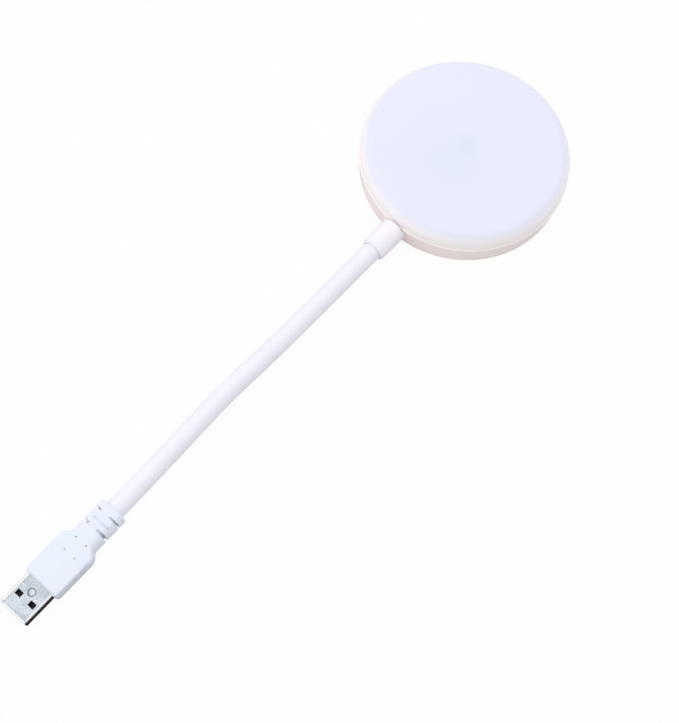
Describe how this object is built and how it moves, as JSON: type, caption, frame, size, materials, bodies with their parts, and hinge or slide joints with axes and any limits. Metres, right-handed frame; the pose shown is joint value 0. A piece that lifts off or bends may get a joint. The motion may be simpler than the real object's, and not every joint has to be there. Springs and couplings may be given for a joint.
{
  "type": "usb gooseneck disc lamp",
  "caption": "White round light with an opal cover on a short flexible neck that ends in a moulded plug with a steel shell; the neck bends and holds its pose.",
  "frame": {"origin": "centre of the flat back of the lamp head, on the surface that the lamp lies on", "axes": "+Z out of the back through the opal cover; the neck leaves the head towards -Y; +X to the side, right-handed"},
  "size_m": [0.082, 0.2779, 0.0166],
  "materials": {
    "opal_cover": "satin",
    "head_white": "satin",
    "ferrule_white": "satin",
    "neck_white": "satin",
    "grip_white": "satin",
    "shell_steel": "brushed",
    "insulator_black": "matte",
    "contact_gold": "polished",
    "mould_ivory": "matte",
    "nut_brass": "machined",
    "core_steel": "drawn",
    "lead_red": "matte",
    "board_white": "solder mask",
    "diode_body": "gloss",
    "chip_black": "matte",
    "solder": "bright",
    "screw_steel": "plated"
  },
  "bodies": {
    "plug": {"plug_overmould": "grip_white", "plug_inner_mould": "mould_ivory", "plug_shell": "shell_steel", "plug_insulator": "insulator_black", "plug_contacts": "contact_gold", "core_anchor": "nut_brass", "neck_jacket_7": "neck_white", "neck_core_7": "core_steel", "lead_pair_7": "lead_red"},
    "neck_link_6": {"neck_jacket_6": "neck_white", "neck_core_6": "core_steel", "lead_pair_6": "lead_red"},
    "neck_link_5": {"neck_jacket_5": "neck_white", "neck_core_5": "core_steel", "lead_pair_5": "lead_red"},
    "neck_link_4": {"neck_jacket_4": "neck_white", "neck_core_4": "core_steel", "lead_pair_4": "lead_red"},
    "neck_link_3": {"neck_jacket_3": "neck_white", "neck_core_3": "core_steel", "lead_pair_3": "lead_red"},
    "neck_link_2": {"neck_jacket_2": "neck_white", "neck_core_2": "core_steel", "lead_pair_2": "lead_red"},
    "head": {"base_shell": "head_white", "diffuser": "opal_cover", "led_board": "board_white", "leds": "diode_body", "resistors": "chip_black", "solder_joints": "solder", "board_screws": "screw_steel", "neck_ferrule": "ferrule_white", "ferrule_nut": "nut_brass", "neck_jacket_1": "neck_white", "neck_core_1": "core_steel", "lead_pair_1": "lead_red"}
  },
  "joints": [
    {"name": "neck_bend_1", "type": "hinge", "parent": "neck_link_2", "child": "head", "pos_m": [0, -0.065, 0.00598], "axis": [1, 0, 0], "range_deg": [-30, 30], "deforming": ["neck_jacket_1", "lead_pair_1"]},
    {"name": "neck_bend_2", "type": "hinge", "parent": "neck_link_3", "child": "neck_link_2", "pos_m": [0, -0.0876, 0.00577], "axis": [0, -0.0093, 1], "range_deg": [-30, 30], "deforming": ["neck_jacket_2", "lead_pair_2"]},
    {"name": "neck_bend_3", "type": "hinge", "parent": "neck_link_4", "child": "neck_link_3", "pos_m": [-0.00016, -0.1102, 0.00556], "axis": [0.9998, -0.0218, -0.0002], "range_deg": [-30, 30], "deforming": ["neck_jacket_3", "lead_pair_3"]},
    {"name": "neck_bend_4", "type": "hinge", "parent": "neck_link_5", "child": "neck_link_4", "pos_m": [-0.00099, -0.13278, 0.00535], "axis": [0, -0.0093, 1], "range_deg": [-30, 30], "deforming": ["neck_jacket_4", "lead_pair_4"]},
    {"name": "neck_bend_5", "type": "hinge", "parent": "neck_link_6", "child": "neck_link_5", "pos_m": [-0.00012, -0.15536, 0.00514], "axis": [0.9994, 0.0349, 0.0003], "range_deg": [-30, 30], "deforming": ["neck_jacket_5", "lead_pair_5"]},
    {"name": "neck_bend_6", "type": "hinge", "parent": "plug", "child": "neck_link_6", "pos_m": [0.00059, -0.17795, 0.00493], "axis": [0, -0.0093, 1], "range_deg": [-30, 30], "deforming": ["neck_jacket_6", "lead_pair_6", "neck_jacket_7", "lead_pair_7"]}
  ]
}
